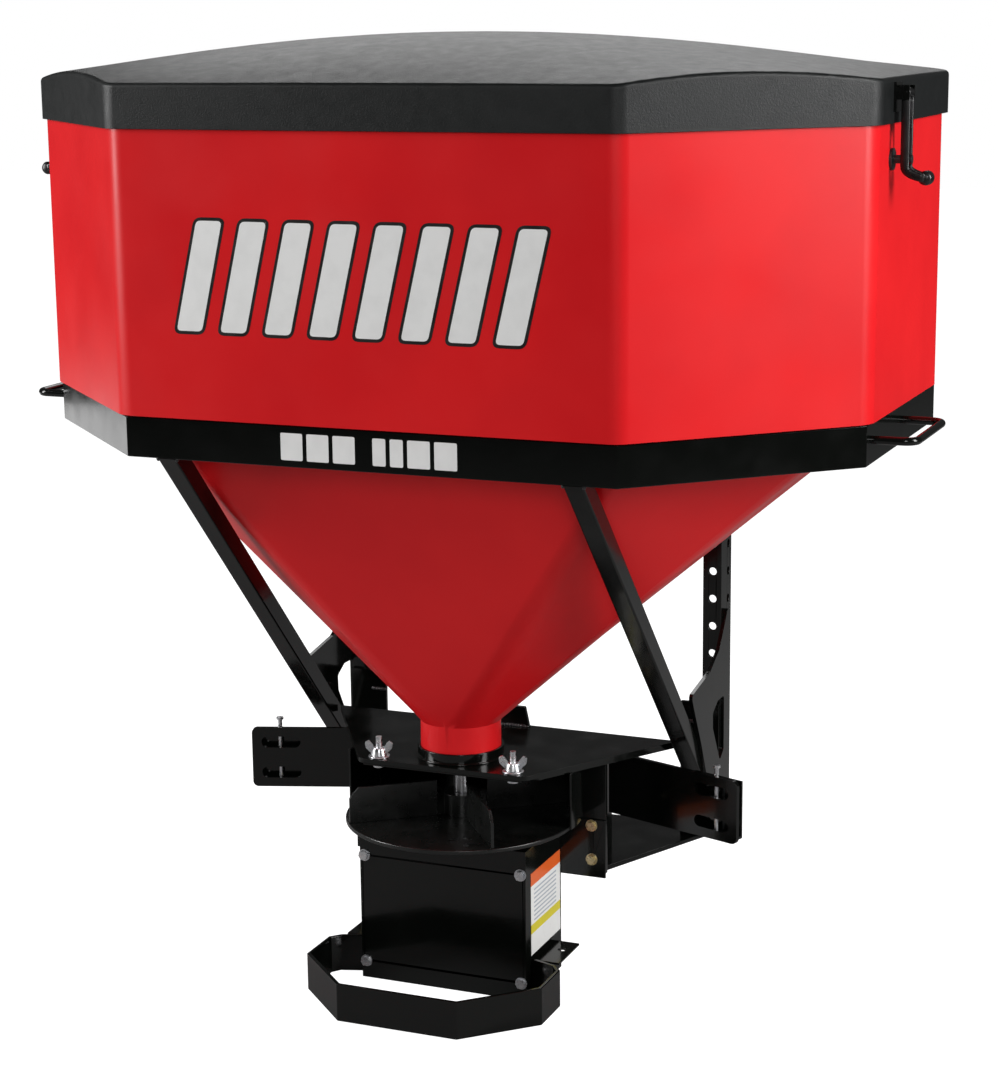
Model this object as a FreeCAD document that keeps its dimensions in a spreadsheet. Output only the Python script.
import FreeCAD, Part
import math
import os
import re

import Sketcher

# Tailgate salt spreader, millimetres. X is across the vehicle, -Y points away from the vehicle
# and Z is up. The origin is the middle of the hitch pin bore. Sketch coordinates are measured
# from the spinner axis (X and Y) and from the top of the support band (Z).

doc = FreeCAD.newDocument("salt_spreader")
params = doc.addObject("Spreadsheet::Sheet", "params")
Vector = FreeCAD.Vector
Rotation = FreeCAD.Rotation
Placement = FreeCAD.Placement

SIZES = {
    # frame position
    "spinner_y": -330, "band_z": 581,
    # support band: flat bar bent round the hopper
    "band_half": 550, "band_front_half": 319, "band_front_y": -279, "band_side_y": -57,
    "band_rear_y": 300, "band_bar": 50, "band_wall": 6,
    # hopper shell
    "hopper_overhang": 6, "hopper_wall": 6, "hopper_radius": 38, "shoulder_z": 347.5,
    "rim_z": 388, "rim_inset": 9, "cone_top_z": -46, "cone_inset": 62, "cone_bottom_z": -428,
    "nozzle_radius": 53, "nozzle_end_z": -468,
    # lid
    "lid_overhang": 11, "lid_wall": 5, "lid_edge_z": 400, "lid_crown": 54, "lid_crown_y": 55,
    "lid_bottom_z": 348, "lid_radius": 30, "gasket_width": 9,
    # struts and masts
    "tube_side": 25.4, "tube_wall": 3, "strut_x": 265, "strut_top_y": -271.6, "strut_top_z": -39.8,
    "strut_low_y": 203, "strut_low_z": -545, "mast_inner": 252, "mast_outer": 278,
    "mast_front_y": 249, "mast_rear_y": 294, "sheet_metal": 5, "mast_low_z": -640, "mast_top_z": -47,
    "mast_hole_radius": 5.5, "mast_hole_pitch": 38.1, "mast_hole_z": -226, "mast_hole_x": 265.5,
    "flange_hole_y": 280, "foot_inner": 223, "foot_top_z": -448, "gusset_plate": 5,
    # lower frame
    "plate": 6, "base_top_z": -476, "base_front_half": 117, "base_rear_half": 250,
    "base_front_y": -68, "base_rear_y": 150, "base_flange": 3, "base_radius": 14, "throat_radius": 58,
    "lower_top_z": -640, "lower_front_half": 167, "lower_front_y": 57, "lower_rear_half": 268,
    "lower_rear_y": 292, "side_plate_x": 152, "side_plate_flange": 30, "side_plate_rear_y": 163,
    "arm_end_x": 355.5, "arm_end_y": 80.7, "arm_sweep": 19, "arm_length": 213, "arm_top_z": -500,
    "arm_height": 86, "slot_width": 16, "slot_length": 55, "slot_inset": 41, "slot_drop": 21,
    "arm_radius": 8, "arm_pin_radius": 3, "arm_pin_inset": 37, "arm_pin_up": 10,
    "pocket_depth": 10, "pocket_sheet": 3, "pocket_length": 80, "pocket_edge": 4,
    "hitch_side": 50.8, "hitch_wall": 6, "hitch_front_y": 162, "hitch_rear_y": 390,
    "hitch_pin_radius": 8.1, "hitch_plate_half": 40, "hitch_plate_rise": 28,
    # feed gate
    "gate_half": 75, "gate_front_y": -66, "gate_rear_y": 75, "gate_opening": 44,
    "gate_bolt_x": 95, "gate_bolt_y": -52, "gate_bolt_radius": 4, "gate_travel": 16,
    "gate_ear_half": 112,
    # spinner
    "disc_radius": 154, "disc_top_z": -558, "disc_plate": 6, "vane_height": 48, "vane_plate": 4,
    "vane_count": 4, "vane_start": 34, "hub_radius": 24, "hub_height": 30, "shaft_radius": 9.5,
    "shaft_top_z": -432, "shaft_low_z": -645.5, "running_gap": 0.05, "shroud_radius": 160,
    "shroud_low_z": -560, "finger_radius": 4, "finger_reach": 34,
    # motor housing
    "case_half": 118, "case_front_y": -70, "case_rear_y": 57, "case_top_z": -576,
    "case_low_z": -780, "case_sheet": 3, "case_bolt_x": 111, "case_bolt_top": -608,
    "case_bolt_low": -756, "bolt_radius": 4, "flange_bolt_x": 163, "case_ear_rise": 80,
    "bolt_head": 6.5, "bolt_head_rise": 4.5, "gland_x": 70, "gland_z": -745, "gland_radius": 9,
    "label_width": 104, "label_rise": 112, "label_low_z": -724, "label_skin": 0.4,
    "tab_reach": 35, "tab_front_y": -42, "tab_rear_y": 33, "tab_z": -733,
    # guard
    "guard_front_half": 83, "guard_front_y": -218, "guard_half": 166, "guard_side_y": -137,
    "guard_rear_y": -72, "guard_turn_y": -58, "guard_root_y": -46, "guard_top_z": -729,
    "guard_bar": 50, "guard_wall": 5,
    # gear motor
    "gear_module": 1, "pinion_teeth": 18, "gear_teeth": 54, "gear_face": 12, "gear_backlash": 0.15,
    "gear_top_z": -622, "motor_radius": 30, "motor_rise": 92, "armature_radius": 21,
    "motor_shaft_radius": 4, "box_wall": 6, "box_low_z": -646, "box_top_z": -604,
    "box_half_width": 44, "box_right_x": 50,
    # handles and latches
    "handle_front_y": -36, "handle_rear_y": 117, "handle_reach": 58, "handle_z": -20,
    "rod_radius": 5, "latch_y": 8, "latch_pivot_z": 383, "latch_pivot_gap": 13,
    "strap_width": 22, "strap_plate": 4, "latch_low_z": 292, "keeper_z": 306, "keeper_radius": 5,
}

SIDES = ((-1, "left"), (1, "right"))

# heights of the repeated bolts above the lower plate
FLANGE_BOLTS = (19, 66)
FOOT_BOLTS = (30, 90)

for row, (alias, size) in enumerate(SIZES.items(), 1):
    params.set(f"A{row}", alias)
    params.set(f"B{row}", str(size))
    params.setAlias(f"B{row}", alias)
doc.recompute()


def bound(expression):
    """Point every size named in an expression at its cell of the sheet."""
    def cell(match):
        word = match.group()
        return f"params.{word}" if word in SIZES else word
    return re.sub(r"[a-z][a-z_]*[a-z]", cell, str(expression))


def number(expression):
    return float(params.evalExpression(bound(expression)))


def bind(item, name, expression):
    item.setExpression(name, bound(expression))


def put(item, x, y, z):
    """Place an item by a point given from the spinner axis and the band top."""
    bind(item, "Placement.Base.x", x)
    bind(item, "Placement.Base.y", f"spinner_y + ({y})")
    bind(item, "Placement.Base.z", f"band_z + ({z})")
    return item


# --- Part primitives and booleans ---------------------------------------------------------

AXES = {"x": Rotation(Vector(0, 1, 0), 90), "y": Rotation(Vector(1, 0, 0), -90), "z": Rotation()}


def box(name, corner, size):
    item = doc.addObject("Part::Box", name)
    for side, expression in zip(("Length", "Width", "Height"), size):
        bind(item, side, expression)
    return put(item, *corner)


def cylinder(name, start, radius, length, axis="z"):
    item = doc.addObject("Part::Cylinder", name)
    bind(item, "Radius", radius)
    bind(item, "Height", length)
    item.Placement.Rotation = AXES[axis]
    return put(item, *start)


def fuse(name, *items):
    item = doc.addObject("Part::MultiFuse", name)
    item.Shapes = list(items)
    return item


def cut(name, base, *tools):
    item = doc.addObject("Part::Cut", name)
    item.Base = base
    item.Tool = tools[0] if len(tools) == 1 else fuse(f"{name}_tools", *tools)
    return item


def group(name, *items):
    """Several separate solids kept as one node."""
    item = doc.addObject("Part::Compound", name)
    item.Links = list(items)
    return item


# --- PartDesign bodies --------------------------------------------------------------------

def body(name):
    item = doc.addObject("PartDesign::Body", name)
    return put(item, 0, 0, 0)


def sketch(owner, plane, offset=0):
    """A sketch on one of the body's own origin planes, moved along the plane's normal."""
    item = owner.newObject("Sketcher::SketchObject", f"{owner.Name}_sketch")
    origin = [part for part in owner.Origin.OriginFeatures if part.Role == f"{plane}_Plane"]
    item.AttachmentSupport = [(origin[0], "")]
    item.MapMode = "FlatFace"
    bind(item, "AttachmentOffset.Base.z", offset)
    return item


def fix(item, geometry, point, x, y):
    """Hold one sketch point at a place given by two expressions."""
    for kind, expression in (("DistanceX", x), ("DistanceY", y)):
        index = item.addConstraint(Sketcher.Constraint(kind, -1, 1, geometry, point,
                                                       number(expression)))
        bind(item, f"Constraints[{index}]", expression)


def outline(item, points):
    """A closed outline of straight lines through the points."""
    places = [Vector(number(x), number(y), 0) for x, y in points]
    first = item.GeometryCount
    for index, place in enumerate(places):
        item.addGeometry(Part.LineSegment(place, places[(index + 1) % len(places)]), False)
    for index, (x, y) in enumerate(points):
        before = first + (index - 1) % len(points)
        item.addConstraint(Sketcher.Constraint("Coincident", before, 2, first + index, 1))
        fix(item, first + index, 1, x, y)


def ring(item, x, y, radius):
    centre = Vector(number(x), number(y), 0)
    geometry = item.addGeometry(Part.Circle(centre, Vector(0, 0, 1), number(radius)), False)
    fix(item, geometry, 3, x, y)
    index = item.addConstraint(Sketcher.Constraint("Radius", geometry, number(radius)))
    bind(item, f"Constraints[{index}]", radius)


def pad(owner, profile, length, both=False):
    item = owner.newObject("PartDesign::Pad", f"{owner.Name}_pad")
    item.Profile = profile
    item.Midplane = both
    bind(item, "Length", length)
    owner.Tip = item
    return item


def pocket(owner, profile, length, both=True):
    item = owner.newObject("PartDesign::Pocket", f"{owner.Name}_pocket")
    item.Profile = profile
    item.Midplane = both
    bind(item, "Length", length)
    owner.Tip = item
    return item


def round_edges(owner, feature, radius, chosen):
    """Fillet the edges of a feature that the test picks."""
    doc.recompute()
    names = [f"Edge{index}" for index, edge in enumerate(feature.Shape.Edges, 1) if chosen(edge)]
    item = owner.newObject("PartDesign::Fillet", f"{owner.Name}_fillet")
    item.Base = (feature, names)
    bind(item, "Radius", radius)
    owner.Tip = item
    return item


def along(direction):
    """A test for straight edges that run along a direction."""
    def chosen(edge):
        if edge.Curve.TypeId != "Part::GeomLine":
            return False
        return abs(edge.Curve.Direction.dot(direction)) > 0.999
    return chosen


def plate(name, plane, points, offset, thickness, holes=()):
    """A flat plate with round holes, each hole given as x, y and radius."""
    item = body(name)
    profile = sketch(item, plane, offset)
    outline(profile, points)
    for x, y, radius in holes:
        ring(profile, x, y, radius)
    pad(item, profile, thickness)
    return item


def mirrored(points, side):
    return [(f"{side} * ({x})", y) for x, y in points]


# --- hopper and lid -----------------------------------------------------------------------

def plan(grow, radius, level):
    """The hopper's plan outline: narrow away from the vehicle, with every corner rounded."""
    front_half = number(f"band_front_half + {grow} * 0.4")
    front_y = number(f"band_front_y - {grow}")
    half = number(f"band_half + {grow}")
    side_y = number(f"band_side_y - {grow} * 0.4")
    rear_y = number(f"band_rear_y + {grow}")
    corners = [(-front_half, front_y), (front_half, front_y), (half, side_y), (half, rear_y),
               (-half, rear_y), (-half, side_y)]
    return rounded_wire([Vector(x, y, level) for x, y in corners], radius)


def rounded_wire(corners, radius):
    """A closed wire through the corners with an arc at each."""
    edges = []
    ends = []
    for index, corner in enumerate(corners):
        before = (corners[index - 1] - corner).normalize()
        after = (corners[(index + 1) % len(corners)] - corner).normalize()
        half_angle = before.getAngle(after) / 2
        setback = radius / math.tan(half_angle)
        bisector = (before + after).normalize()
        middle = corner + bisector * (radius / math.sin(half_angle) - radius)
        ends.append((corner + before * setback, middle, corner + after * setback))
    for index, (start, middle, end) in enumerate(ends):
        edges.append(Part.Arc(start, middle, end).toShape())
        edges.append(Part.LineSegment(end, ends[(index + 1) % len(ends)][0]).toShape())
    return Part.Wire(edges)


def prism(wire, height):
    return Part.Face(wire).extrude(Vector(0, 0, height))


def throat_plan(radius, level):
    """A nearly round wire with as many edges as the plan outline, for the foot of the cone."""
    step = math.radians(60)
    reach = radius * 1.14
    corners = [Vector(reach * math.cos(step * k - math.radians(120)),
                      reach * math.sin(step * k - math.radians(120)), level) for k in range(6)]
    return rounded_wire(corners, radius * 0.97)


def hopper_solid(inset):
    """The filled hopper, smaller all round by the inset."""
    shoulder = number("shoulder_z")
    overhang = number("hopper_overhang") - inset
    radius = number("hopper_radius") - inset
    inside = -number("band_wall") - 0.5 - inset
    upper = prism(plan(overhang, radius, 2 + inset), shoulder - 2 - 2 * inset)
    rim = prism(plan(overhang - number("rim_inset"), radius, shoulder - 12),
                number("rim_z") - shoulder + 12 + inset * 2)
    ledge = number("cone_top_z") + inset
    belt = prism(plan(inside, radius, ledge), 20 + inset - ledge)
    foot = number("cone_bottom_z")
    throat = throat_plan(number("nozzle_radius") - inset, foot)
    cone_plan = plan(-number("cone_inset") - inset, radius, ledge)
    cone = Part.makeLoft([cone_plan, throat], True, True)
    nozzle = Part.makeCylinder(number("nozzle_radius") - inset,
                               foot + 12 - number("nozzle_end_z") + inset,
                               Vector(0, 0, number("nozzle_end_z") - inset))
    return upper.multiFuse([rim, belt, cone, nozzle])


def lid_dome(drop, grow):
    """A block whose top is a shallow dome, high in the middle and level along its edges."""
    half = number("band_half") + grow
    front = number("band_front_y") - grow
    rear = number("band_rear_y") + grow
    crown_y = number("lid_crown_y")
    edge = number("lid_edge_z") - drop
    sections = []
    stations = 7
    for index in range(stations):
        y = front + (rear - front) * index / (stations - 1)
        reach = (crown_y - front) if y < crown_y else (rear - crown_y) * 1.5
        rise = 1 + number("lid_crown") * (1 - ((y - crown_y) / reach) ** 2)
        top = Part.Arc(Vector(-half, y, edge), Vector(0, y, edge + rise), Vector(half, y, edge))
        low = number("lid_bottom_z") - 5 - drop
        right = Part.LineSegment(Vector(half, y, edge), Vector(half, y, low))
        base = Part.LineSegment(Vector(half, y, low), Vector(-half, y, low))
        left = Part.LineSegment(Vector(-half, y, low), Vector(-half, y, edge))
        sections.append(Part.Wire([part.toShape() for part in (top, right, base, left)]))
    return Part.makeLoft(sections, True, False)


def shaped(name, shape, x=0, z=0):
    """A node whose solid has no PartDesign or primitive form; its sizes come from the sheet."""
    item = doc.addObject("Part::Feature", name)
    item.Shape = shape
    put(item, x, 0, z)


def make_hopper():
    inner = hopper_solid(number("hopper_wall"))
    shaped("hopper", hopper_solid(0).cut(inner))


def make_lid():
    overhang = number("lid_overhang")
    wall = number("lid_wall")
    low = number("lid_bottom_z")
    outer = prism(plan(overhang, number("lid_radius"), low), 150)
    outer = outer.common(lid_dome(0, overhang + 1))
    edges = [edge for edge in outer.Edges if edge.BoundBox.ZMin > low + 20]
    outer = outer.makeFillet(6, edges)
    inner = prism(plan(overhang - wall, number("lid_radius") - wall, low - 1), 150)
    inner = inner.common(lid_dome(wall, overhang + 1))
    shaped("lid", outer.cut(inner))


def make_gasket():
    outer = number("lid_overhang - lid_wall")
    width = number("gasket_width")
    level = number("rim_z") + 0.3
    rise = number("lid_edge_z - lid_wall - rim_z") - 0.3
    strip = prism(plan(outer, number("lid_radius") - number("lid_wall"), level), rise)
    hole = prism(plan(outer - width, number("lid_radius") - number("lid_wall") - width + 6,
                      level - 1), rise + 2)
    shaped("lid_gasket", strip.cut(hole).common(lid_dome(number("lid_wall"), 40)))


# --- frame --------------------------------------------------------------------------------

def make_support_band():
    band = body("support_band")
    profile = sketch(band, "XY", "-band_bar")
    for inset, reach in (("0", "0"), ("band_wall", "band_wall * 0.4")):
        outline(profile, [
            (f"-(band_front_half - {reach})", f"band_front_y + {inset}"),
            (f"band_front_half - {reach}", f"band_front_y + {inset}"),
            (f"band_half - {inset}", f"band_side_y + {reach}"),
            (f"band_half - {inset}", f"band_rear_y - {inset}"),
            (f"-(band_half - {inset})", f"band_rear_y - {inset}"),
            (f"-(band_half - {inset})", f"band_side_y + {reach}")])
    feature = pad(band, profile, "band_bar")
    round_edges(band, feature, "band_wall * 0.6",
                lambda edge: along(Vector(0, 0, 1))(edge) and outside_band(edge))


def outside_band(edge):
    point = edge.CenterOfMass
    return (abs(point.x) > number("band_half") - 1
            or (point.y < number("band_front_y") + 1))


def make_strut(side, hand):
    start = Vector(side * number("strut_x"), number("spinner_y + strut_top_y"),
                   number("band_z + strut_top_z"))
    end = Vector(side * number("strut_x"), number("spinner_y + strut_low_y"),
                 number("band_z + strut_low_z"))
    tube = doc.addObject("PartDesign::Body", f"{hand}_strut_tube")
    profile = sketch(tube, "XY")
    outer = "tube_side / 2"
    inner = "(tube_side / 2 - tube_wall)"
    for reach in (outer, inner):
        outline(profile, [(f"-{reach}", f"-{reach}"), (reach, f"-{reach}"), (reach, reach),
                          (f"-{reach}", reach)])
    feature = pad(tube, profile, "hypot(strut_low_y - strut_top_y; strut_low_z - strut_top_z)")
    round_edges(tube, feature, "tube_wall * 0.8",
                lambda edge: along(Vector(0, 0, 1))(edge)
                and abs(edge.CenterOfMass.x) > number(inner) + 1)
    tube.Placement = Placement(start, Rotation(Vector(0, 0, 1), end - start))
    above = box(f"{hand}_strut_trim",
                (f"{side} * strut_x - tube_side", "strut_top_y - tube_side", "-band_bar"),
                ("tube_side * 2", "tube_side * 2", "tube_side"))
    cut(f"{hand}_front_strut", tube, above)


def make_mast(side, hand):
    mast = body(f"{hand}_mast")
    section = sketch(mast, "XY", "mast_low_z")
    outline(section, mirrored([
        ("mast_inner", "mast_front_y"), ("mast_outer", "mast_front_y"),
        ("mast_outer", "mast_rear_y"), ("mast_outer - sheet_metal", "mast_rear_y"),
        ("mast_outer - sheet_metal", "mast_front_y + sheet_metal"),
        ("mast_inner", "mast_front_y + sheet_metal")], side))
    pad(mast, section, "mast_top_z - mast_low_z")
    web = sketch(mast, "XZ", "-(mast_front_y + sheet_metal / 2)")
    flange = sketch(mast, "YZ", f"{side} * (mast_outer - sheet_metal / 2)")
    for index in range(5):
        ring(web, f"{side} * mast_hole_x", f"mast_hole_z - {index} * mast_hole_pitch",
             "mast_hole_radius")
    for rise in FOOT_BOLTS:
        ring(web, f"{side} * mast_hole_x", f"mast_low_z + {rise}", "bolt_radius - 1")
    for index in range(11):
        ring(flange, "flange_hole_y", f"mast_hole_z - 4 - {index} * mast_hole_pitch",
             "mast_hole_radius")
    pocket(mast, web, "sheet_metal * 2")
    pocket(mast, flange, "sheet_metal * 2")


def make_mast_foot(side, hand):
    plate(f"{hand}_mast_foot", "XZ",
          mirrored([("foot_inner", "mast_low_z"), ("mast_outer", "mast_low_z"),
                    ("mast_outer", "foot_top_z"), ("foot_inner", "foot_top_z")], side),
          "-mast_front_y", "plate",
          [(f"{side} * mast_hole_x", f"mast_low_z + {rise}", "bolt_radius - 1")
           for rise in FOOT_BOLTS])


def make_gusset(side, hand):
    gusset = body(f"{hand}_mast_gusset")
    offset = "mast_outer" if side > 0 else "-(mast_outer + gusset_plate)"
    profile = sketch(gusset, "YZ", offset)
    outline(profile, [
        ("mast_rear_y - 22", "-305"), ("mast_front_y", "-338"), ("mast_front_y - 22", "-366"),
        ("mast_front_y - 62", "-387"), ("108", "-400"), ("118", "-420"), ("150", "-476"),
        ("176", "-530"), ("186", "-585"), ("mast_rear_y - 22", "-585")])
    outline(profile, [("250", "-436"), ("222", "-436"), ("200", "-448"), ("201", "-470"),
                      ("233", "-524"), ("250", "-512")])
    feature = pad(gusset, profile, "gusset_plate")
    round_edges(gusset, feature, 6, lambda edge: along(Vector(1, 0, 0))(edge))


def make_arm(side, hand):
    arm = doc.addObject("PartDesign::Body", f"{hand}_arm")
    profile = sketch(arm, "XZ", "-plate / 2")
    outline(profile, mirrored([("0", "0"), ("-arm_length", "0"), ("-arm_length", "-arm_height"),
                               ("0", "-arm_height")], side))
    feature = pad(arm, profile, "plate")
    round_edges(arm, feature, "arm_radius",
                lambda edge: along(Vector(0, 1, 0))(edge) and abs(edge.CenterOfMass.x) < 1)
    slots = sketch(arm, "XZ")
    for drop in ("slot_drop", "arm_height - slot_drop"):
        slot(slots, f"-{side} * slot_inset", f"-({drop})")
    pocket(arm, slots, "plate * 3")
    make_pin_pocket(arm, side)
    bind(arm, "Placement.Rotation.Angle", f"-{side} * arm_sweep")
    arm.Placement.Rotation.Axis = Vector(0, 0, 1)
    put(arm, f"{side} * arm_end_x", "arm_end_y", "arm_top_z")


def make_pin_pocket(arm, side):
    """A folded cover behind the slots, closed below, that keeps the drop-in pin."""
    low = "-arm_height + pocket_edge"
    near, far = "plate / 2", "(plate / 2 + pocket_depth)"
    cover = sketch(arm, "XY", low)
    outline(cover, mirrored([
        ("-pocket_edge", far), ("-(pocket_length - pocket_sheet)", far),
        ("-(pocket_length - pocket_sheet)", near), ("-pocket_length", near),
        ("-pocket_length", f"{far} + pocket_sheet"),
        ("-pocket_edge", f"{far} + pocket_sheet")], side))
    pad(arm, cover, "arm_height - 2 * pocket_edge")
    floor = sketch(arm, "XY", low)
    outline(floor, mirrored([
        ("-pocket_edge", near), ("-pocket_length", near),
        ("-pocket_length", far), ("-pocket_edge", far)], side))
    pad(arm, floor, "pocket_sheet + 0.7")


def slot(item, x, y):
    """A level slot with round ends."""
    reach = "(slot_length - slot_width) / 2"
    radius = number("slot_width / 2")
    left = Vector(number(f"{x} - {reach}"), number(y), 0)
    right = Vector(number(f"{x} + {reach}"), number(y), 0)
    up = Vector(0, radius, 0)
    normal = Vector(0, 0, 1)
    first = item.addGeometry([
        Part.LineSegment(left + up, right + up),
        Part.ArcOfCircle(Part.Circle(right, normal, radius), -math.pi / 2, math.pi / 2),
        Part.LineSegment(right - up, left - up),
        Part.ArcOfCircle(Part.Circle(left, normal, radius), math.pi / 2, 3 * math.pi / 2),
    ], False)[0]
    for line, start, arc, end in ((0, 2, 1, 2), (2, 1, 1, 1), (2, 2, 3, 2), (0, 1, 3, 1)):
        item.addConstraint(Sketcher.Constraint("Tangent", first + line, start, first + arc, end))
    fix(item, first + 1, 3, f"{x} + {reach}", y)
    fix(item, first + 3, 3, f"{x} - {reach}", y)
    index = item.addConstraint(Sketcher.Constraint("Radius", first + 1, radius))
    bind(item, f"Constraints[{index}]", "slot_width / 2")


def all_frame_sides():
    for side, hand in SIDES:
        make_strut(side, hand)
        make_mast(side, hand)
        make_mast_foot(side, hand)
        make_gusset(side, hand)
        make_arm(side, hand)


def make_arm_pin(side, hand):
    """A plain drop-in pin that stands in the arm's pocket, behind the two slots."""
    start = (f"{side} * (arm_end_x - arm_pin_inset * cos(arm_sweep))",
             "arm_end_y + arm_pin_inset * sin(arm_sweep)"
             " + (plate / 2 + arm_pin_radius + 0.3) / cos(arm_sweep)",
             "arm_top_z - arm_height + 8")
    stem = cylinder(f"{hand}_pin_stem", start, "arm_pin_radius",
                    "arm_height - 8 + arm_pin_up")
    head = cylinder(f"{hand}_pin_head", (start[0], start[1], "arm_top_z + arm_pin_up"),
                    "arm_pin_radius + 2", 3)
    fuse(f"{hand}_arm_pin", stem, head)


def make_base_plate():
    rim = [("base_front_half", "base_front_y"), ("base_rear_half", "base_rear_y"),
           ("-base_rear_half", "base_rear_y"), ("-base_front_half", "base_front_y")]
    base = plate("base_plate", "XY", rim, "base_top_z - plate", "plate",
                 [("0", "0", "throat_radius"), ("gate_bolt_x", "gate_bolt_y", "gate_bolt_radius"),
                  ("-gate_bolt_x", "gate_bolt_y", "gate_bolt_radius")])
    round_edges(base, base.Tip, "base_radius",
                lambda edge: along(Vector(0, 0, 1))(edge)
                and edge.CenterOfMass.y < number("base_front_y") + 1)
    for side in (1, -1):
        fold = sketch(base, "XY", "base_top_z - plate - base_flange")
        outline(fold, mirrored([
            ("base_front_half + 12", "base_front_y + 20"), ("base_rear_half", "base_rear_y"),
            ("base_rear_half - 8", "base_rear_y"), ("base_front_half + 4", "base_front_y + 20")],
            side))
        pad(base, fold, "base_flange")


def make_lower_plate():
    plate("lower_plate", "XY",
          [("lower_front_half", "lower_front_y + 14"), ("lower_rear_half", "lower_rear_y"),
           ("-lower_rear_half", "lower_rear_y"), ("-lower_front_half", "lower_front_y + 14"),
           ("-(lower_front_half - 12)", "lower_front_y"),
           ("lower_front_half - 12", "lower_front_y")],
          "lower_top_z - plate", "plate")


def make_side_plate(side, hand):
    """An upright between the two plates, with a bolting flange folded along its front edge."""
    panel = body(f"{hand}_frame_side_plate")
    section = sketch(panel, "XY", "lower_top_z")
    outline(section, mirrored([
        ("side_plate_x - plate", "case_rear_y"),
        ("side_plate_x + side_plate_flange", "case_rear_y"),
        ("side_plate_x + side_plate_flange", "case_rear_y + plate"),
        ("side_plate_x", "case_rear_y + plate"),
        ("side_plate_x", "side_plate_rear_y"),
        ("side_plate_x - plate", "side_plate_rear_y")], side))
    pad(panel, section, "base_top_z - plate - lower_top_z")
    holes = sketch(panel, "XZ", "-case_rear_y")
    for rise in FLANGE_BOLTS:
        ring(holes, f"{side} * flange_bolt_x", f"lower_top_z + {rise}", "bolt_radius - 1")
    pocket(panel, holes, 30)


def make_hitch():
    """The square tube that slides into the vehicle's receiver, and its pin bore."""
    half = "(hitch_side / 2)"
    tube = body("hitch_tube")
    section = sketch(tube, "XZ", "-hitch_rear_y")
    for inset in ("0", "hitch_wall"):
        reach = f"({half} - {inset})"
        outline(section, [(f"-{reach}", f"-band_z - {reach}"), (reach, f"-band_z - {reach}"),
                          (reach, f"{reach} - band_z"), (f"-{reach}", f"{reach} - band_z")])
    pad(tube, section, "hitch_rear_y - hitch_front_y")
    bore = sketch(tube, "YZ")
    ring(bore, "-spinner_y", "-band_z", "hitch_pin_radius")
    pocket(tube, bore, "hitch_side * 2")
    plate("hitch_cross_plate", "XZ",
          [("-(side_plate_x - plate)", "lower_top_z"), ("side_plate_x - plate", "lower_top_z"),
           ("side_plate_x - plate", "base_top_z - plate"),
           ("-(side_plate_x - plate)", "base_top_z - plate")],
          "-hitch_front_y", "plate")
    plate("hitch_gusset", "XZ",
          [("-hitch_plate_half", "base_top_z"), ("hitch_plate_half", "base_top_z"),
           ("hitch_plate_half - 6", "base_top_z + hitch_plate_rise"),
           ("-(hitch_plate_half - 6)", "base_top_z + hitch_plate_rise")],
          "-base_rear_y + 4", "plate")
    saddle = body("hitch_saddle")
    section = sketch(saddle, "XZ", "-(lower_rear_y - 12)")
    outline(section, [(f"-({half} + 24)", "lower_top_z"), (f"{half} + 24", "lower_top_z"),
                      (f"{half} + 6", f"-band_z - {half}"), (f"-({half} + 6)",
                                                            f"-band_z - {half}")])
    pad(saddle, section, "plate")


def make_throat():
    """The collar that seats the nozzle on the base plate."""
    collar = body("nozzle_collar")
    section = sketch(collar, "XZ")
    outline(section, [("nozzle_radius + 0.3", "nozzle_end_z"), ("nozzle_radius + 0.3",
                                                                "nozzle_end_z + 6"),
                      ("nozzle_radius + 4", "nozzle_end_z + 6"),
                      ("nozzle_radius + 4", "base_top_z + 2"),
                      ("nozzle_radius + 7", "base_top_z + 2"),
                      ("nozzle_radius + 7", "base_top_z"), ("nozzle_radius - 7", "base_top_z"),
                      ("nozzle_radius - 7", "nozzle_end_z")])
    turned = collar.newObject("PartDesign::Revolution", "nozzle_collar_turn")
    turned.Profile = section
    turned.ReferenceAxis = (section, ["V_Axis"])
    turned.Angle = 360
    collar.Tip = turned


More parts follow.
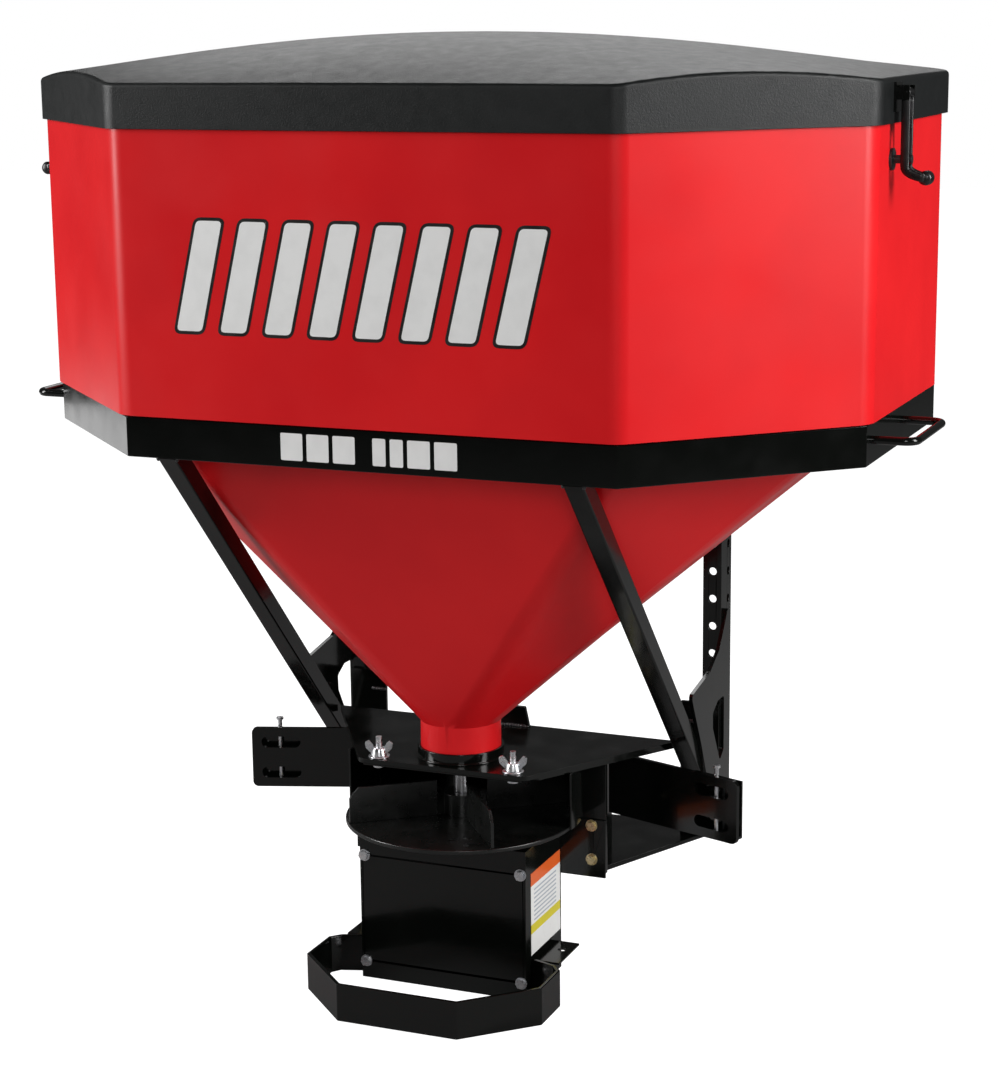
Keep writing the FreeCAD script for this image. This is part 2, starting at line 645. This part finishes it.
def make_feed_gate():
    """The feed gate slides under the base plate and is clamped by the two wing nuts."""
    top = "(base_top_z - plate - 0.3)"
    gate = plate("feed_gate", "XY",
                 [("-gate_half", "gate_front_y"), ("-gate_ear_half", "gate_front_y"),
                  ("-gate_ear_half", "gate_front_y + 46"), ("-gate_half", "gate_rear_y"),
                  ("gate_half", "gate_rear_y"), ("gate_ear_half", "gate_front_y + 46"),
                  ("gate_ear_half", "gate_front_y"), ("gate_half", "gate_front_y")],
                 f"{top} - plate / 2", "plate / 2", [("0", "0", "gate_opening")])
    slots = sketch(gate, "XY", top)
    for side in (1, -1):
        outline(slots, mirrored([
            ("gate_bolt_x - gate_bolt_radius - 0.6", "gate_bolt_y - gate_bolt_radius - 0.6"),
            ("gate_bolt_x + gate_bolt_radius + 0.6", "gate_bolt_y - gate_bolt_radius - 0.6"),
            ("gate_bolt_x + gate_bolt_radius + 0.6",
             "gate_bolt_y + gate_travel + gate_bolt_radius + 0.6"),
            ("gate_bolt_x - gate_bolt_radius - 0.6",
             "gate_bolt_y + gate_travel + gate_bolt_radius + 0.6")], side))
    pocket(gate, slots, "plate * 3")
    bolts = []
    nuts = []
    for side, hand in SIDES:
        x = f"{side} * gate_bolt_x"
        low = f"{top} - plate / 2 - 0.3"
        head = cylinder(f"{hand}_gate_bolt_head", (x, "gate_bolt_y", f"{low} - 4"),
                        "gate_bolt_radius * 2", 4)
        stem = cylinder(f"{hand}_gate_bolt_stem", (x, "gate_bolt_y", f"{low} - 1"),
                        "gate_bolt_radius", "plate + 32")
        bolts.append(fuse(f"{hand}_gate_bolt", head, stem))
        nuts.append(make_wing_nut(x, "gate_bolt_y", "base_top_z", hand))
    group("gate_bolts", *bolts)
    group("wing_nuts", *nuts)


def make_wing_nut(x, y, z, hand):
    hub = doc.addObject("Part::Cone", f"{hand}_wing_hub")
    bind(hub, "Radius1", "gate_bolt_radius * 2.2")
    bind(hub, "Radius2", "gate_bolt_radius * 1.6")
    hub.Height = 11
    put(hub, x, y, f"{z} + 1.5")
    washer = cylinder(f"{hand}_wing_washer", (x, y, z), "gate_bolt_radius * 2.8", 1.8)
    wings = []
    for turn, end in ((0, "near"), (180, "far")):
        wing = doc.addObject("Part::Box", f"{hand}_wing_{end}")
        wing.Length = 9
        wing.Width = 3.6
        wing.Height = 20
        tilt = Rotation(Vector(0, 0, 1), turn + 15).multiply(Rotation(Vector(0, 1, 0), 32))
        wing.Placement.Rotation = tilt
        offset = tilt.multVec(Vector(1.5, -1.8, 0))
        put(wing, f"{x} + ({offset.x})", f"{y} + ({offset.y})", f"{z} + 6 + ({offset.z})")
        wings.append(wing)
    solid = fuse(f"{hand}_wing_solid", hub, washer, *wings)
    bore = cylinder(f"{hand}_wing_bore", (x, y, f"{z} - 1"), "gate_bolt_radius", 30)
    return cut(f"{hand}_wing_nut", solid, bore)


# --- spinner and its drive ----------------------------------------------------------------

def make_shroud():
    """Two curved cheeks beside the disc, welded to the flanges of the frame's side plates."""
    shroud = body("spinner_shrouds")
    profile = sketch(shroud, "XY", "shroud_low_z")
    ring(profile, "0", "0", "shroud_radius")
    ring(profile, "0", "0", "shroud_radius - case_sheet")
    pad(shroud, profile, "base_top_z - plate - base_flange - shroud_low_z")
    away = "(shroud_radius * 2)"
    for near, far in ((f"-{away}", "-12"), ("case_rear_y", away)):
        trim = sketch(shroud, "XY", "shroud_low_z")
        outline(trim, [(f"-{away}", near), (away, near), (away, far), (f"-{away}", far)])
        pocket(shroud, trim, away)


def gear_outline(teeth, thinning):
    """Involute teeth about the Z axis, thinned a little to leave backlash."""
    module = number("gear_module")
    pitch = module * teeth / 2
    base = pitch * math.cos(math.radians(20))
    tip = pitch + module
    root = pitch - 1.2 * module
    involute = math.tan(math.radians(20)) - math.radians(20)
    half_tooth = math.pi / (2 * teeth) + involute - thinning / pitch
    low = max(base, root + 0.1)
    edges = []
    last = None
    for tooth in range(teeth):
        centre = 2 * math.pi * tooth / teeth
        flanks = []
        for side in (-1, 1):
            points = []
            for step in range(5):
                radius = low + (tip - low) * step / 4
                angle = math.acos(base / radius)
                turn = centre + side * (half_tooth - (math.tan(angle) - angle))
                points.append(Vector(radius * math.cos(turn), radius * math.sin(turn), 0))
            flanks.append(points)
        left, right = flanks
        foot = [point * (root / point.Length) for point in (left[0], right[0])]
        if last:
            edges.append(Part.LineSegment(last, foot[0]).toShape())
        else:
            start = foot[0]
        edges.append(Part.makePolygon([foot[0]] + left))
        edges.append(Part.LineSegment(left[-1], right[-1]).toShape())
        edges.append(Part.makePolygon(right[::-1] + [foot[1]]))
        last = foot[1]
    edges.append(Part.LineSegment(last, start).toShape())
    return Part.Wire([edge for piece in edges for edge in piece.Edges])


def make_gear(name, teeth, bore, turn, hub, centre_x):
    wire = gear_outline(teeth, number("gear_backlash"))
    wire.rotate(Vector(), Vector(0, 0, 1), turn)
    face = number("gear_face")
    solid = prism(wire, face)
    for radius, low, high in hub:
        solid = solid.fuse(Part.makeCylinder(radius, high - low, Vector(0, 0, low)))
    solid = solid.cut(Part.makeCylinder(bore, 200, Vector(0, 0, -100)))
    shaped(name, solid, centre_x, "gear_top_z - gear_face")


def make_drive():
    pinion = round(number("pinion_teeth"))
    gear = round(number("gear_teeth"))
    shaft = number("shaft_radius")
    face = number("gear_face")
    make_gear("drive_gear", gear, shaft, 0, [(15, -3, 0), (15, face, face + 3)], 0)
    distance = "gear_module * (pinion_teeth + gear_teeth) / 2"
    make_gear("motor_pinion", pinion, number("motor_shaft_radius"), 180 / pinion, [],
              f"-{distance}")
    cylinder("spinner_shaft", ("0", "0", "shaft_low_z"), "shaft_radius",
             "shaft_top_z - shaft_low_z")
    left = f"-({distance} + 24)"
    length = f"({distance} + 24 + box_right_x)"
    width = "box_half_width * 2"
    low = "box_low_z"
    outer = box("box_outer", (left, "-box_half_width", low),
                (length, width, "box_top_z - box_low_z"))
    inner = box("box_inner", (f"{left} + box_wall", "-box_half_width + box_wall",
                              f"{low} + box_wall"),
                (f"{length} - 2 * box_wall", f"{width} - 2 * box_wall",
                 "box_top_z - box_low_z"))
    pocket_low = cylinder("box_low_bore", ("0", "0", f"{low} - 1"), "shaft_radius + 7", 20)
    motor_bore = cylinder("box_motor_bore", (f"-({distance})", "0", f"{low} - 1"), 8, 20)
    cut("gearbox_case", outer, inner, pocket_low, motor_bore)
    cover = box("cover_blank", (left, "-box_half_width", "box_top_z"),
                (length, width, "box_wall"))
    cover_bore = cylinder("cover_bore", ("0", "0", "box_top_z - 1"), "shaft_radius + 7", 20)
    cut("gearbox_cover", cover, cover_bore)
    bearings = []
    for spot, z in (("low", low), ("high", "box_top_z")):
        sleeve = cylinder(f"{spot}_bearing_blank", ("0", "0", z), "shaft_radius + 7", "box_wall")
        bore = cylinder(f"{spot}_bearing_bore", ("0", "0", f"{z} - 1"), "shaft_radius + running_gap",
                        20)
        bearings.append(cut(f"{spot}_bearing", sleeve, bore))
    group("shaft_bearings", *bearings)
    seal = cylinder("seal_blank", ("0", "0", "box_top_z + box_wall"), "shaft_radius + 9", 6)
    seal_bore = cylinder("seal_bore", ("0", "0", "box_top_z"), "shaft_radius + running_gap", 20)
    cut("shaft_seal", seal, seal_bore)
    make_motor(distance)


def make_motor(distance):
    x = f"-({distance})"
    top = "box_low_z"
    low = f"({top} - motor_rise)"
    skin = cylinder("can_blank", (x, "0", low), "motor_radius", "motor_rise")
    core = cylinder("can_core", (x, "0", f"{low} + 4"), "motor_radius - 4", "motor_rise - 8")
    neck = cylinder("can_neck", (x, "0", f"{top} - 5"), "motor_shaft_radius + running_gap", 10)
    tail = cylinder("can_tail", (x, "0", f"{low} - 1"), "motor_shaft_radius + running_gap", 10)
    cut("motor_can", skin, core, neck, tail)
    stack = cylinder("armature_stack", (x, "0", f"{low} + 12"), "armature_radius",
                     "motor_rise - 26")
    shaft = cylinder("armature_shaft", (x, "0", f"{low} - 2"), "motor_shaft_radius",
                     "motor_rise + 2 + gear_top_z - box_low_z + 1")
    fuse("motor_armature", stack, shaft)


def make_spinner():
    low = "(disc_top_z - disc_plate)"
    plate_blank = cylinder("disc_blank", ("0", "0", low), "disc_radius", "disc_plate")
    bore = cylinder("disc_bore", ("0", "0", f"{low} - 1"), "hub_radius * 0.8", 20)
    cut("spinner_disc", plate_blank, bore)
    hub_low = cylinder("hub_low", ("0", "0", f"{low} - 4"), "hub_radius * 0.8",
                       "disc_plate + 4 + hub_height / 2")
    hub_high = cylinder("hub_high", ("0", "0", "disc_top_z"), "hub_radius", "hub_height")
    hub_bore = cylinder("hub_bore", ("0", "0", f"{low} - 9"), "shaft_radius", 80)
    cut("spinner_hub", fuse("hub_blank", hub_low, hub_high), hub_bore)
    vanes = []
    for index in range(round(number("vane_count"))):
        vane = doc.addObject("PartDesign::Body", f"vane_{index}")
        profile = sketch(vane, "XZ", "-vane_plate / 2")
        outline(profile, [("vane_start", "0"), ("disc_radius - 2", "0"),
                          ("disc_radius - 2", "vane_height * 0.7"),
                          ("disc_radius - 14", "vane_height"), ("vane_start", "vane_height")])
        pad(vane, profile, "vane_plate")
        vane.Placement.Rotation = Rotation(Vector(0, 0, 1), 90 * index - 52)
        put(vane, "0", "0", "disc_top_z")
        vanes.append(vane)
    group("spinner_vanes", *vanes)
    fingers = [cylinder("finger_sleeve_blank", ("0", "0", "shaft_top_z - 40"),
                        "shaft_radius + 5", 34)]
    for index in range(3):
        finger = cylinder(f"finger_{index}", ("0", "0", f"shaft_top_z - 36 + {index} * 11"),
                          "finger_radius", "finger_reach", "x")
        finger.Placement.Rotation = Rotation(Vector(0, 0, 1), 120 * index).multiply(AXES["x"])
        fingers.append(finger)
    finger_bore = cylinder("finger_bore", ("0", "0", "shaft_top_z - 60"), "shaft_radius", 90)
    cut("agitator", fuse("agitator_blank", *fingers), finger_bore)


def make_housing():
    """A folded cover on the front and sides, closed by a back plate with top and floor."""
    sheet = "case_sheet"
    outer = box("case_outer", ("-case_half", "case_front_y", "case_low_z"),
                ("case_half * 2", "case_rear_y - case_front_y - case_sheet",
                 "case_top_z - case_low_z"))
    inner = box("case_inner", (f"-case_half + {sheet}", f"case_front_y + {sheet}",
                               f"case_low_z - 1"),
                (f"case_half * 2 - 2 * {sheet}", "case_rear_y - case_front_y",
                 f"case_top_z - case_low_z + 2"))
    lip_spans = {"case_bolt_top": ("case_bolt_top - 12",
                                   f"case_top_z - {sheet} - case_bolt_top + 12"),
                 "case_bolt_low": (f"case_low_z + {sheet}",
                                   f"case_bolt_low + 12 - case_low_z - {sheet}")}
    spots = [(side, level) for side in (-1, 1) for level in lip_spans]
    bores = [cylinder(f"case_bore_{index}", (f"{side} * case_bolt_x", "case_front_y - 1", level),
                      "bolt_radius - 1", 20, "y")
             for index, (side, level) in enumerate(spots)]
    cut("motor_housing_cover", outer, inner, *bores)
    depth = f"(case_rear_y - case_front_y - {sheet})"
    width = f"case_half * 2 - 2 * {sheet}"
    back = box("back_wall", ("-case_half", f"case_rear_y - {sheet}", "case_low_z"),
               ("case_half * 2", sheet, "case_top_z - case_low_z"))
    roof = box("back_roof", (f"-case_half + {sheet}", f"case_front_y + {sheet}",
                             f"case_top_z - {sheet}"), (width, f"{depth} - {sheet}", sheet))
    floor = box("back_floor", (f"-case_half + {sheet}", f"case_front_y + {sheet}", "case_low_z"),
                (width, f"{depth} - {sheet}", sheet))
    lips = [box(f"back_lip_{index}", (f"{side} * (case_half - {sheet} - 8) - 8",
                                      f"case_front_y + {sheet}", lip_spans[level][0]),
                (16, 5, lip_spans[level][1]))
            for index, (side, level) in enumerate(spots)]
    ears = [box(f"back_ear_{index}", ("case_half" if side > 0 else
                                      "-(side_plate_x + side_plate_flange)",
                                      f"case_rear_y - {sheet}", "lower_top_z - plate"),
                ("side_plate_x + side_plate_flange - case_half", sheet,
                 "case_ear_rise"))
            for index, side in enumerate((-1, 1))]
    throat = cylinder("roof_bore", ("0", "0", "case_top_z - 10"), "shaft_radius + 6", 30)
    spigot = cylinder("back_gland_bore", ("gland_x", "case_rear_y - 10", "gland_z"),
                      "gland_radius", 20, "y")
    ear_bores = [cylinder(f"ear_bore_{side}_{rise}", (f"{side} * flange_bolt_x",
                          "case_rear_y - 10", f"lower_top_z + {rise}"), "bolt_radius - 1", 20,
                          "y")
                 for side in (1, -1) for rise in FLANGE_BOLTS]
    cut("motor_housing_back", fuse("back_blank", back, roof, floor, *lips, *ears), throat,
        spigot, *bores, *ear_bores)
    group("housing_bolts", *[bolt(f"case_bolt_{index}", f"{side} * case_bolt_x",
                                  "case_front_y", level, 12)
                             for index, (side, level) in enumerate(spots)])
    left = box("gearbox_rest_left", ("-86", "-30", "box_top_z + box_wall"), ("20", "60",
                 f"case_top_z - {sheet} - box_top_z - box_wall"))
    right = box("gearbox_rest_right", ("30", "-30", "box_top_z + box_wall"), ("14", "60",
                f"case_top_z - {sheet} - box_top_z - box_wall"))
    group("gearbox_spacers", left, right)
    box("warning_label", ("case_half", "-label_width / 2", "label_low_z"),
        ("label_skin", "label_width", "label_rise"))
    gland = cylinder("gland_body", ("gland_x", "case_rear_y - 8", "gland_z"), "gland_radius", 8,
                     "y")
    nut = cylinder("gland_nut", ("gland_x", "case_rear_y", "gland_z"), "gland_radius + 4", 12,
                   "y")
    dome = cylinder("gland_cap", ("gland_x", "case_rear_y + 12", "gland_z"), "gland_radius + 1", 8,
                    "y")
    passage = cylinder("gland_passage", ("gland_x", "case_rear_y - 10", "gland_z"),
                       "gland_radius / 2", 60, "y")
    cut("cable_gland", fuse("gland_blank", gland, nut, dome), passage)


def bolt(name, x, face_y, z, length):
    """A screw that enters a face along +Y, with a round washer head in front of it."""
    head = doc.addObject("Part::Prism", f"{name}_head")
    head.Polygon = 6
    bind(head, "Circumradius", "bolt_head")
    bind(head, "Height", "bolt_head_rise")
    head.Placement.Rotation = AXES["y"]
    put(head, x, f"{face_y} - bolt_head_rise - 1.5", z)
    washer = cylinder(f"{name}_washer", (x, f"{face_y} - 1.5", z), "bolt_head + 1.5", 1.5, "y")
    stem = cylinder(f"{name}_stem", (x, f"{face_y} - 2", z), "bolt_radius - 1", length, "y")
    return fuse(name, head, washer, stem)


def make_guard():
    """A flat bar bent round in front of the housing."""
    guard = body("guard_loop")
    profile = sketch(guard, "XY", "guard_top_z - guard_bar")
    path = [("guard_front_half", "guard_front_y"), ("guard_half", "guard_side_y"),
            ("guard_half", "guard_rear_y"), ("case_half + tab_reach", "guard_turn_y"),
            ("case_half", "guard_root_y")]
    inner = [("case_half", "guard_root_y - guard_wall - 0.5"),
             ("case_half + tab_reach - 1", "guard_turn_y - guard_wall"),
             ("guard_half - guard_wall", "guard_rear_y - 3"),
             ("guard_half - guard_wall", "guard_side_y + guard_wall * 0.4"),
             ("guard_front_half - guard_wall * 0.4", "guard_front_y + guard_wall")]
    half = path + inner
    outline(profile, half + [(f"-({x})", y) for x, y in half[::-1]])
    pad(guard, profile, "guard_bar")
    tabs = []
    for side, hand in SIDES:
        tab = plate(f"{hand}_guard_tab", "XY",
                    mirrored([("case_half", "tab_front_y"), ("case_half + tab_reach", "tab_front_y"),
                              ("case_half + tab_reach", "tab_rear_y"),
                              ("case_half", "tab_rear_y")], side),
                    "tab_z - case_sheet", "case_sheet",
                    [(f"{side} * (case_half + tab_reach * 0.6)", "4", "bolt_radius + 1")])
        tabs.append(tab)
    group("guard_tabs", *tabs)


def make_frame_bolts():
    group("frame_bolts", *[
        bolt(f"flange_bolt_{hand}_{rise}", f"{side} * flange_bolt_x",
             "case_rear_y - case_sheet", f"lower_top_z + {rise}", 16)
        for side, hand in SIDES for rise in FLANGE_BOLTS])
    group("mast_bolts", *[
        bolt(f"foot_bolt_{hand}_{rise}", f"{side} * mast_hole_x", "mast_front_y - plate",
             f"mast_low_z + {rise}", 16)
        for side, hand in SIDES for rise in FOOT_BOLTS])


# --- handles and latches ------------------------------------------------------------------

def make_handle(side, hand):
    """A bent rod welded to the side of the band."""
    level = number("handle_z")
    radius = number("rod_radius")
    root = side * number("band_half")
    tip = side * number("band_half + handle_reach - rod_radius")
    bend = number("rod_radius * 3")
    ends = []
    for y, turn in ((number("handle_front_y"), 1), (number("handle_rear_y"), -1)):
        slant = bend * (1 - math.sqrt(0.5))
        ends.append([Vector(root, y, level), Vector(tip - side * bend, y, level),
                     Vector(tip - side * slant, y + turn * slant, level),
                     Vector(tip, y + turn * bend, level)])
    front, rear = ends
    route = Part.Wire([Part.LineSegment(front[0], front[1]).toShape(),
                       Part.Arc(front[1], front[2], front[3]).toShape(),
                       Part.LineSegment(front[3], rear[3]).toShape(),
                       Part.Arc(rear[3], rear[2], rear[1]).toShape(),
                       Part.LineSegment(rear[1], rear[0]).toShape()])
    section = Part.Wire([Part.makeCircle(radius, front[0], Vector(1, 0, 0))])
    shaped(f"{hand}_grab_handle", route.makePipeShell([section], True, False))


def make_latch(side, hand):
    """A rubber strap hinged on a bracket on the lid; its fork drops over a post below."""
    wall = "(band_half + lid_overhang)"
    pivot = f"({wall} + latch_pivot_gap)"
    arms = [box(f"{hand}_bracket_{end}",
                (f"{wall}" if side > 0 else f"-{pivot} - 5", f"latch_y + {y}",
                 "latch_pivot_z - 8"), ("latch_pivot_gap + 5", 3, 16))
            for end, y in (("front", -15), ("rear", 12))]
    back = box(f"{hand}_bracket_back", (wall if side > 0 else f"-{wall} - 3", "latch_y - 15",
                                        "latch_pivot_z - 22"), (3, 30, 34))
    pin = cylinder(f"{hand}_bracket_pin", (f"{side} * {pivot}", "latch_y - 17",
                                           "latch_pivot_z"), 2.5, 34, "y")
    fuse(f"{hand}_latch_bracket", back, pin, *arms)
    x_low = f"{side} * {pivot} - strap_plate / 2"
    strap = box(f"{hand}_strap_web", (x_low, "latch_y - strap_width / 2", "latch_low_z"),
                ("strap_plate", "strap_width", "latch_pivot_z - latch_low_z - 3"))
    eye = cylinder(f"{hand}_strap_eye", (f"{side} * {pivot}", "latch_y - strap_width / 2",
                                         "latch_pivot_z"), 5.5, "strap_width", "y")
    tab = doc.addObject("Part::Box", f"{hand}_strap_tab")
    bind(tab, "Length", 26)
    bind(tab, "Width", "strap_width")
    bind(tab, "Height", "strap_plate")
    tilt = Rotation(Vector(0, 1, 0), 42 if side > 0 else 138)
    tab.Placement.Rotation = tilt
    put(tab, f"{side} * {pivot} - {side} * 2", "latch_y - strap_width / 2",
        "latch_low_z + 4" if side > 0 else "latch_low_z + 1.5")
    eye_bore = cylinder(f"{hand}_strap_bore", (f"{side} * {pivot}", "latch_y - 30",
                                               "latch_pivot_z"), "2.5 + running_gap * 2", 60, "y")
    window = box(f"{hand}_strap_window", (f"{side} * {pivot} - 12",
                                          "latch_y - keeper_radius - 1", "latch_low_z - 30"),
                 (24, "keeper_radius * 2 + 2", "keeper_z - latch_low_z + 38"))
    cut(f"{hand}_latch_strap", fuse(f"{hand}_strap_blank", strap, eye, tab), eye_bore, window)
    skin = "(band_half + hopper_overhang)"
    length = f"(lid_overhang - hopper_overhang + latch_pivot_gap + strap_plate / 2 + 2)"
    base = cylinder(f"{hand}_keeper_flange",
                    (skin if side > 0 else f"-{skin} - 3", "latch_y", "keeper_z"), 13, 3, "x")
    post = cylinder(f"{hand}_keeper_post",
                    (skin if side > 0 else f"-{skin} - {length}", "latch_y", "keeper_z"),
                    "keeper_radius", length, "x")
    cap = cylinder(f"{hand}_keeper_cap",
                   (f"{skin} + {length}" if side > 0 else f"-{skin} - {length} - 3", "latch_y",
                    "keeper_z"), "keeper_radius + 0.6", 3, "x")
    fuse(f"{hand}_latch_keeper", base, post, cap)


make_hopper()
make_lid()
make_gasket()
make_support_band()
all_frame_sides()
make_base_plate()
make_lower_plate()
make_hitch()
make_throat()
make_feed_gate()
make_shroud()
make_drive()
make_spinner()
make_housing()
make_guard()
make_frame_bolts()
for side, hand in SIDES:
    make_arm_pin(side, hand)
    make_side_plate(side, hand)
    make_handle(side, hand)
    make_latch(side, hand)
doc.recompute()

NODES = ["hopper", "lid", "lid_gasket", "support_band", "base_plate", "lower_plate",
         "hitch_tube", "hitch_cross_plate", "hitch_gusset", "hitch_saddle", "nozzle_collar",
         "feed_gate", "gate_bolts", "wing_nuts", "spinner_shrouds", "drive_gear", "motor_pinion",
         "spinner_shaft", "gearbox_case", "gearbox_cover", "shaft_bearings", "shaft_seal",
         "motor_can", "motor_armature", "spinner_disc", "spinner_hub", "spinner_vanes",
         "agitator", "motor_housing_cover", "motor_housing_back", "housing_bolts",
         "gearbox_spacers", "warning_label", "cable_gland", "guard_loop", "guard_tabs",
         "frame_bolts", "mast_bolts"]
for side, hand in SIDES:
    NODES += [f"{hand}_{part}" for part in (
        "front_strut", "mast", "mast_foot", "mast_gusset", "arm", "arm_pin",
        "frame_side_plate", "grab_handle", "latch_bracket", "latch_strap", "latch_keeper")]
os.makedirs("parts", exist_ok=True)
for name in NODES:
    node = doc.getObject(name)
    if {"Invalid", "Error"} & set(node.State) or node.Shape.isNull() or not node.Shape.isValid():
        raise RuntimeError(f"{name} is not a good solid: {node.State}")
    node.Shape.exportStep(f"parts/{name}.step")
    print(name, round(node.Shape.Volume), len(node.Shape.Solids))
